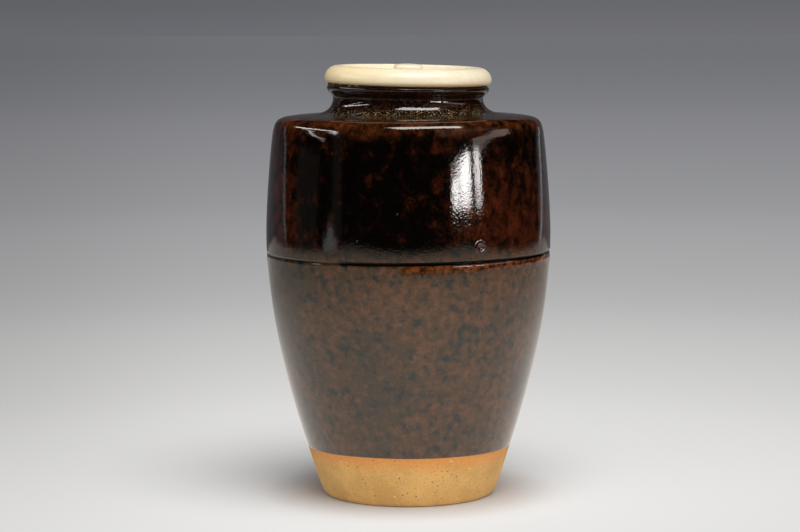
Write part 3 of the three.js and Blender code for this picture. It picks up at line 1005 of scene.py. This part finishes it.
def area_light(name, place, target, size, radiance, colour=(1, 1, 1)):
    """A rectangle of one radiance, facing a target, that shows only where it is mirrored."""
    data = bpy.data.lights.new(name, "AREA")
    data.shape = "RECTANGLE"
    data.size, data.size_y = size
    data.energy = radiance * math.pi * size[0] * size[1]
    data.color = colour
    light = bpy.data.objects.new(name, data)
    light.location = place
    light.rotation_euler = (Vector(target) - Vector(place)).to_track_quat("-Z", "Y").to_euler()
    light.visible_camera = False
    light.visible_diffuse = False
    bpy.context.scene.collection.objects.link(light)
    return light


def towards(azimuth, elevation, distance):
    """A place at an azimuth (0 is -Y, 90 is +X) and elevation, in degrees, round the upper jar."""
    a, e = math.radians(azimuth), math.radians(elevation)
    return Vector((
        distance * math.sin(a) * math.cos(e),
        -distance * math.cos(a) * math.cos(e),
        MIRRORED_MIDDLE + distance * math.sin(e)))


def seen_panel(name, azimuths, elevations, radiance, colour=(1, 1, 1), tilt=0.0):
    """A light that fills a patch of the jar's surroundings, given in degrees."""
    middle = (sum(azimuths) / 2, sum(elevations) / 2)
    size = [2 * MIRRORED_DISTANCE * math.tan(math.radians(high - low) / 2)
            for low, high in (azimuths, elevations)]
    place = towards(*middle, MIRRORED_DISTANCE)
    light = area_light(name, place, (0, 0, MIRRORED_MIDDLE), size, radiance, colour)
    light.rotation_euler.rotate_axis("Z", math.radians(tilt))
    return light


def make_window():
    """The window at the right, as uneven panes and a strip, with a curtain beside it and above it."""
    for step, radiance in enumerate(PANE_RADIANCES):
        start = PANE_START + PANE_WIDTH * step
        top = 4.9 + 1.2 * step
        seen_panel("window_pane", (start, start + PANE_WIDTH), (2.0, top), radiance, WINDOW_PINK)
    seen_panel("window_strip", (55.2, 60.4), (1.8, 8.6), 13.0, WINDOW_PINK)
    seen_panel("curtain", (55.0, 96.0), (12.0, 21.0), 1.5, (1.0, 0.78, 0.70), 15.0)
    seen_panel("curtain_top", (30.0, 84.0), (25.0, 44.0), 0.25, (1.0, 0.66, 0.5))


def make_left_panels():
    """The strips, cards and dim panels that the glaze mirrors at the left."""
    seen_panel("left_strip", (-118.0, -68.0), (25.0, 28.0), 10.0)
    seen_panel("left_low_strip", (-106.0, -75.0), (16.6, 18.0), 6.0, tilt=-19.0)
    seen_panel("left_panel", (-103.0, -78.0), (-8.0, 6.0), 0.05, (1.0, 0.88, 0.78))
    seen_panel("left_band", (-66.0, -58.0), (-6.0, 33.0), 0.06, (1.0, 0.9, 0.75), 14.0)
    seen_panel("card", (-71.0, -58.5), (-8.0, -4.6), 0.8)
    seen_panel("card_top", (-67.5, -62.0), (-4.6, -1.6), 0.8)


def make_sun():
    """A sun so broad that its shadow is soft, which the glaze doesn't mirror."""
    sun = bpy.data.lights.new("broad_sun", "SUN")
    sun.angle = SUN_WIDTH
    sun.energy = SUN_STRENGTH
    light = bpy.data.objects.new("broad_sun", sun)
    light.rotation_euler = (-towards(25, 70, 1.0)).to_track_quat("-Z", "Y").to_euler()
    light.visible_glossy = False
    bpy.context.scene.collection.objects.link(light)


def make_lights():
    """A ceiling softbox, the window, the panels at the left, a thin line behind each side, and the sun."""
    area_light("ceiling", (0.24, -0.50, 1.30), (0, 0, 0.05), (1.08, 0.52), 9.0, (1.0, 0.98, 0.95))
    make_window()
    make_left_panels()
    seen_panel("left_edge", (-127.6, -126.4), (-10.0, 22.0), 0.6, tilt=46.0)
    seen_panel("right_edge", (139.4, 140.6), (-13.0, 11.0), 0.9, tilt=-60.0)
    make_sun()


class WorldNodes:
    """The world's node tree, with short calls for colours along a direction and for kinds of ray."""

    def __init__(self, tree):
        self.tree = tree
        self.direction = tree.nodes.new("ShaderNodeTexCoord").outputs["Generated"]
        self.rays = tree.nodes.new("ShaderNodeLightPath")

    def vector_math(self, operation, first, second):
        """A vector node of two inputs, each a socket or three numbers."""
        node = self.tree.nodes.new("ShaderNodeVectorMath")
        node.operation = operation
        for socket, value in zip(node.inputs, (first, second)):
            if isinstance(value, bpy.types.NodeSocket):
                self.tree.links.new(value, socket)
            else:
                socket.default_value = value
        return node

    def step(self, along, low, high, first, last):
        """A colour that goes smoothly from first at low to last at high, along a direction."""
        ramp = self.tree.nodes.new("ShaderNodeMapRange")
        ramp.data_type = "FLOAT_VECTOR"
        ramp.interpolation_type = "SMOOTHSTEP"
        for socket, value in zip(ramp.inputs[7:11], ((low,) * 3, (high,) * 3, first, last)):
            socket.default_value = value
        dot = self.vector_math("DOT_PRODUCT", self.direction, along)
        self.tree.links.new(dot.outputs["Value"], ramp.inputs["Vector"])
        return ramp.outputs["Vector"]

    def background(self, *colours):
        """A background of the product of some colours."""
        product = colours[0]
        for colour in colours[1:]:
            product = self.vector_math("MULTIPLY", product, colour).outputs[0]
        node = self.tree.nodes.new("ShaderNodeBackground")
        self.tree.links.new(product, node.inputs["Color"])
        return node.outputs[0]

    def choose(self, ray, otherwise, chosen):
        """One background for one kind of ray, and another for the rest."""
        mixer = self.tree.nodes.new("ShaderNodeMixShader")
        for source, target in zip((self.rays.outputs[ray], otherwise, chosen), mixer.inputs):
            self.tree.links.new(source, target)
        return mixer.outputs[0]


def make_world():
    """Grey to the camera, a soft light from the front for matt surfaces, and a dark room for the glaze.

    In the room that the glaze mirrors, only the backdrop behind the jar is grey.
    """
    world = bpy.data.worlds.new("studio")
    bpy.context.scene.world = world
    world.use_nodes = True
    world.cycles.sampling_method = "NONE"
    w = WorldNodes(world.node_tree)
    soft = w.background(w.step((-0.2, 1, 0.3), -0.8, 0.5, (1.22, 1.22, 1.24), (0.19, 0.19, 0.20)))
    backdrop = w.step((-0.12, 1.0, -0.9), 0.59, 0.63, (0.010, 0.010, 0.010), (0.14, 0.145, 0.155))
    upper_dim = w.step((0, 0, 1), -0.08, 0.12, (1, 1, 1), (0.5, 0.5, 0.5))
    left_dim = w.step((1, 0, 0), -0.9, 0.7, (0.62, 0.62, 0.64), (1, 1, 1))
    room = w.background(backdrop, upper_dim, left_dim)
    left_to_right = w.step((1, 0, 0), -0.2, 0.06, (0.136, 0.140, 0.154), (0.159, 0.160, 0.176))
    upwards = w.step((0, 0, 1), -0.009, 0.009, (1, 1, 1), (0.84, 0.85, 0.85))
    seen = w.background(left_to_right, upwards)
    lit = w.choose("Is Glossy Ray", soft, room)
    output = w.choose("Is Camera Ray", lit, seen)
    world.node_tree.links.new(output, world.node_tree.nodes["World Output"].inputs["Surface"])


def make_camera():
    """The viewpoint: half a metre in front, a little above the lid, tipped down by about six degrees."""
    data = bpy.data.cameras.new("camera")
    data.sensor_width = 36.0
    data.lens = LENS
    data.clip_start, data.clip_end = 0.01, 100.0
    camera = bpy.data.objects.new("camera", data)
    tip = Matrix.Rotation(math.radians(90 - CAMERA_TIP), 4, "X")
    roll = Matrix.Rotation(math.radians(CAMERA_ROLL), 4, "Z")
    camera.matrix_world = Matrix.Translation(CAMERA_PLACE) @ tip @ roll
    bpy.context.scene.collection.objects.link(camera)
    bpy.context.scene.camera = camera


def main():
    bpy.context.scene.view_settings.view_transform = "Standard"
    make_camera()
    make_clay_body(make_clay_material())
    make_glaze(make_glaze_material())
    ivory = make_ivory_material()
    make_lid_disc(ivory)
    make_knob(ivory)
    make_leaf(make_leaf_material())
    make_floor()
    make_table()
    make_lights()
    make_world()


main()
bpy.context.view_layer.update()
